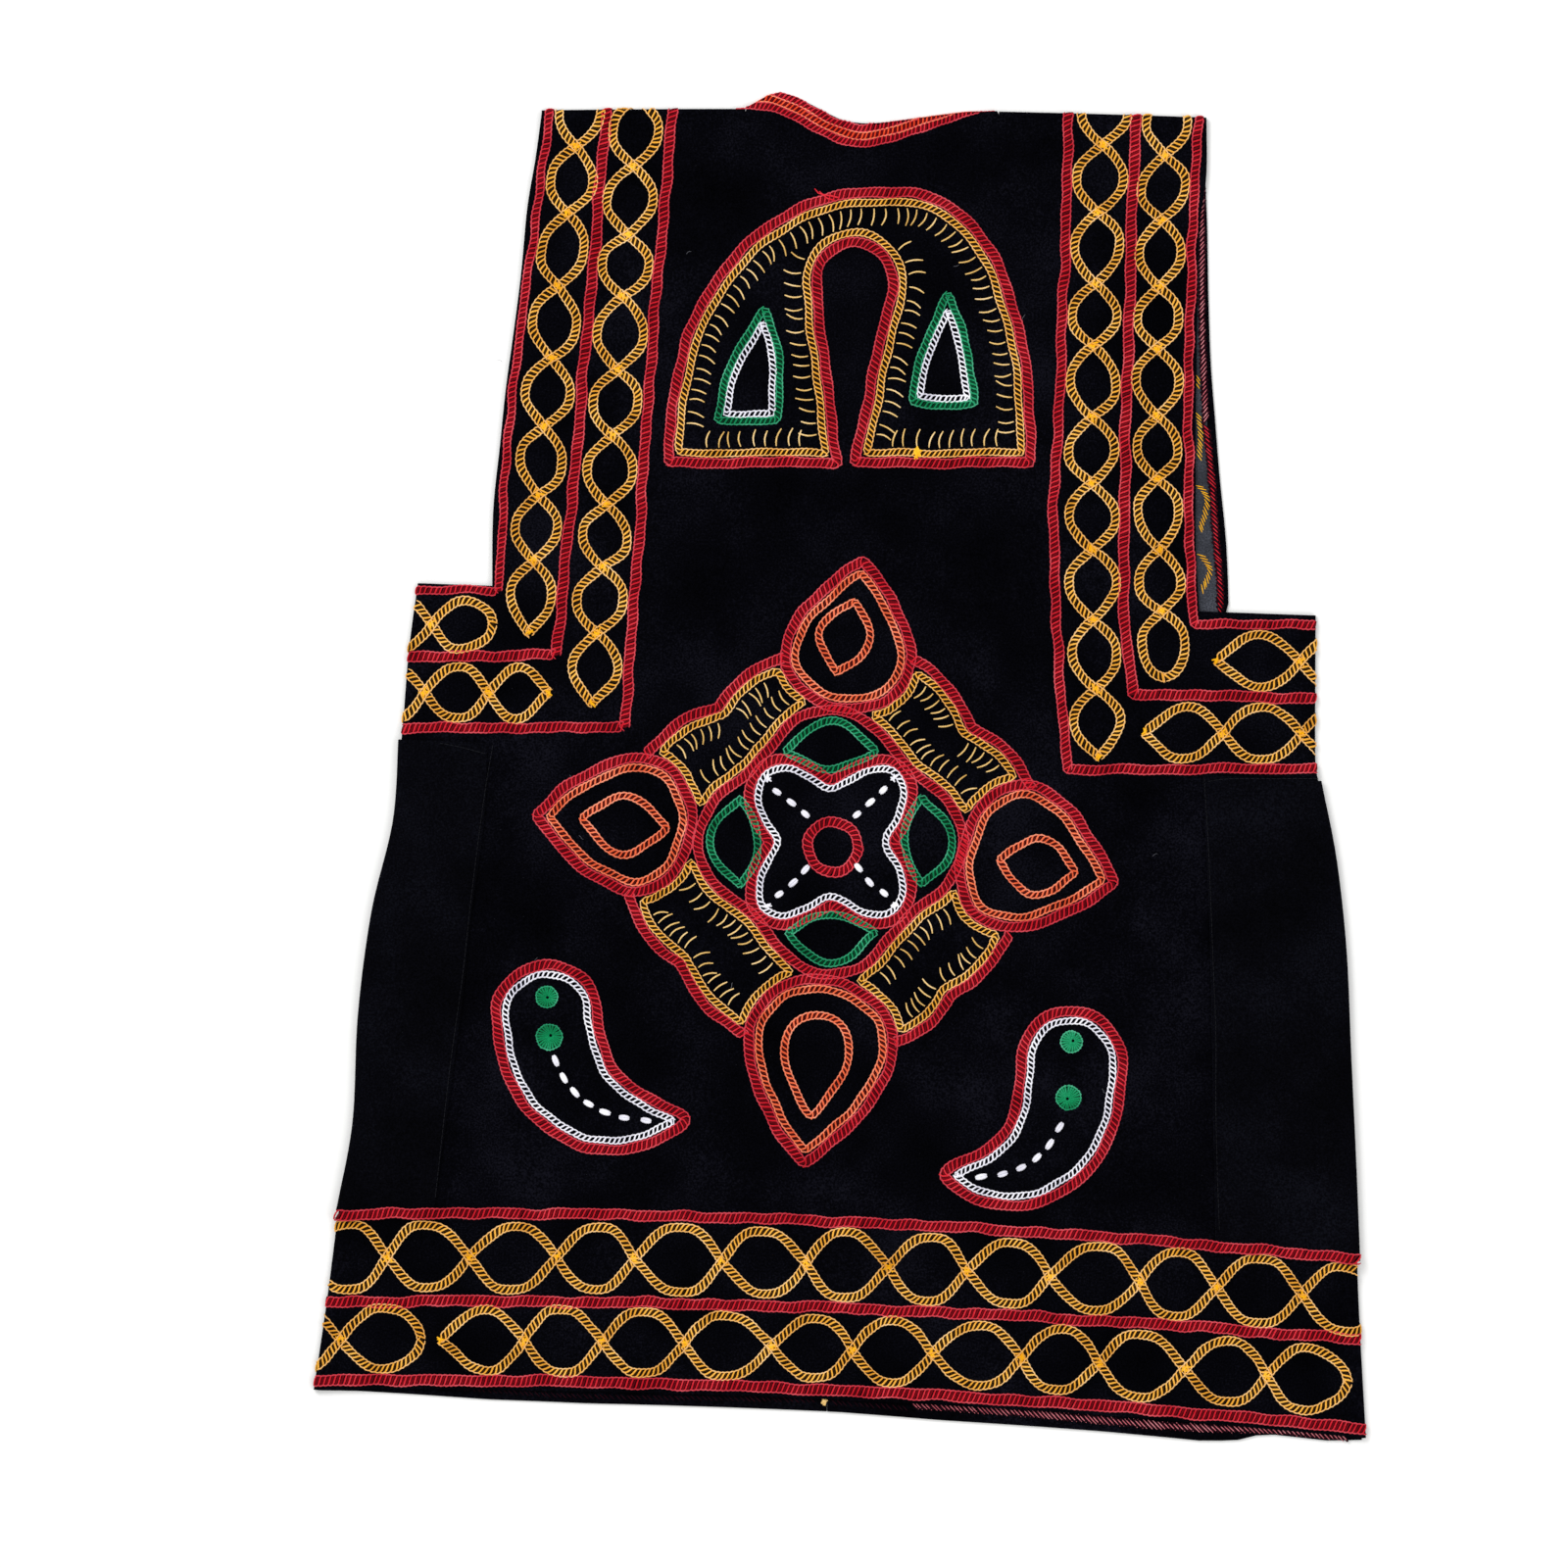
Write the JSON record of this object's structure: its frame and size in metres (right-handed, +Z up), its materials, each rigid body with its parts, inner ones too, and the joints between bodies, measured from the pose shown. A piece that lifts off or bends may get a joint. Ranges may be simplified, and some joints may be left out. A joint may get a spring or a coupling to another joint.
{
  "type": "embroidered velvet vest",
  "caption": "Sleeveless black velvet vest laid flat, back up, with square underarms, pockets that wrap the sides, and thick embroidered braids, loops, a rosette and paisleys.",
  "frame": {"origin": "on the surface the vest lies on, in the middle of its outline", "axes": "+Z up through the vest, +Y from hem to collar, +X from the wearer's left side to the right"},
  "size_m": [0.586, 0.751, 0.0076],
  "materials": {
    "velvet": "cotton velvet, black with a faint blue nap",
    "pocket_velvet": "cotton velvet, black with a faint blue nap, a little greyer",
    "red_braid": "laced rows of crimson wool",
    "yellow_braid": "laced rows of golden yellow wool",
    "salmon_braid": "laced rows of salmon wool",
    "green_braid": "laced rows of green wool",
    "white_braid": "laced rows of white wool"
  },
  "bodies": {
    "root": {"arch": "red_braid", "back_panel": "velvet", "braid_hem_bottom": "red_braid", "braid_hem_middle": "red_braid", "braid_hem_top": "red_braid", "braid_left_inner": "red_braid", "braid_left_middle": "red_braid", "braid_left_outer": "red_braid", "braid_neck": "red_braid", "braid_right_inner": "red_braid", "braid_right_middle": "red_braid", "braid_right_outer": "red_braid", "front_left": "velvet", "front_right": "velvet", "leaf_bottom": "salmon_braid", "leaf_left": "salmon_braid", "leaf_right": "salmon_braid", "leaf_top": "salmon_braid", "lobes": "red_braid", "loops_hem_lower": "yellow_braid", "loops_hem_lower_left": "yellow_braid", "loops_hem_upper": "yellow_braid", "loops_left_inner": "yellow_braid", "loops_left_outer": "yellow_braid", "loops_left_underarm": "yellow_braid", "loops_left_waist": "yellow_braid", "loops_right_inner": "yellow_braid", "loops_right_outer": "yellow_braid", "loops_right_underarm": "yellow_braid", "loops_right_waist": "yellow_braid", "paisley_left": "red_braid", "paisley_right": "red_braid", "petal_bottom": "red_braid", "petal_left": "red_braid", "petal_right": "red_braid", "petal_top": "red_braid", "pocket_left": "pocket_velvet", "pocket_right": "pocket_velvet", "ring": "red_braid", "scallop_bottom_left": "red_braid", "scallop_bottom_right": "red_braid", "scallop_top_left": "red_braid", "scallop_top_right": "red_braid", "star": "white_braid", "triangle_left": "green_braid", "triangle_right": "green_braid"}
  },
  "joints": []
}
